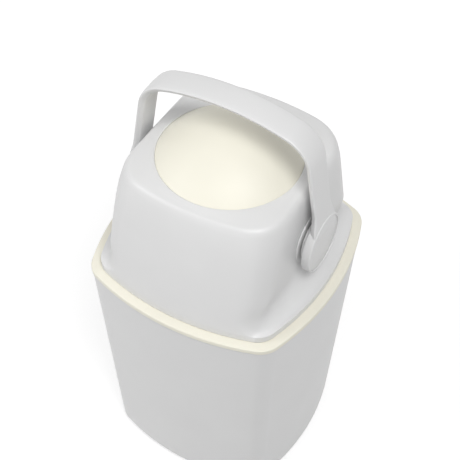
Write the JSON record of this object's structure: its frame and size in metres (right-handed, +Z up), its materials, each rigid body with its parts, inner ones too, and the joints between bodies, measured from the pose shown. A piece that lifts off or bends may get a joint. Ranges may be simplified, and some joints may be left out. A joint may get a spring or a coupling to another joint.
{
  "type": "nappy bin",
  "caption": "Tall nappy bin with a round-cornered tapered body, a bag ring, a hinged lid and a handle that turns a drum, which drops each nappy inside.",
  "frame": {"origin": "middle of the bin's foot, on the floor", "axes": "+Z up, +X along the drum's axle, -Y towards the front, opposite the lid's hinge"},
  "size_m": [0.26, 0.26, 0.5094],
  "materials": {
    "white_plastic": "satin",
    "cream_plastic": "satin",
    "grey_plastic": "satin",
    "natural_nylon": "satin",
    "dark_rubber": "matte",
    "steel": "zinc plated"
  },
  "bodies": {
    "bin": {"bin_shell": "white_plastic"},
    "ring": {"bag_ring": "cream_plastic", "hinge_pin": "steel"},
    "lid": {"lid_shell": "white_plastic", "drum_housing": "grey_plastic", "inlet_seal": "dark_rubber", "outlet_seal": "dark_rubber", "lid_gasket": "dark_rubber", "bush_left": "natural_nylon", "bush_right": "natural_nylon", "housing_screws": "steel"},
    "rotor": {"drum_upper": "cream_plastic", "drum_lower": "cream_plastic", "drum_liner": "cream_plastic", "drum_screws": "steel", "spindle_left": "natural_nylon", "spindle_right": "natural_nylon", "spindle_screws": "steel", "handle": "white_plastic", "handle_screws": "steel", "cap_left": "white_plastic", "cap_right": "white_plastic"},
    "piston": {"piston_front": "cream_plastic", "piston_back": "cream_plastic", "piston_weight": "steel", "piston_wiper": "dark_rubber", "piston_screws": "steel"}
  },
  "joints": [
    {"name": "ring_lift", "type": "slide", "parent": "bin", "child": "ring", "axis": [0, 0, 1], "range_m": [0, 0.025]},
    {"name": "lid_hinge", "type": "hinge", "parent": "ring", "child": "lid", "pos_m": [0, 0.1245, 0.303], "axis": [-1, 0, 0], "range_deg": [0, 95]},
    {"name": "drum_turn", "type": "hinge", "parent": "lid", "child": "rotor", "pos_m": [0, 0, 0.361], "axis": [1, 0, 0], "range_deg": [-90, 90]},
    {"name": "piston_slide", "type": "slide", "parent": "rotor", "child": "piston", "axis": [0, 1, 0], "range_m": [-0.0512, 0.0512]}
  ]
}
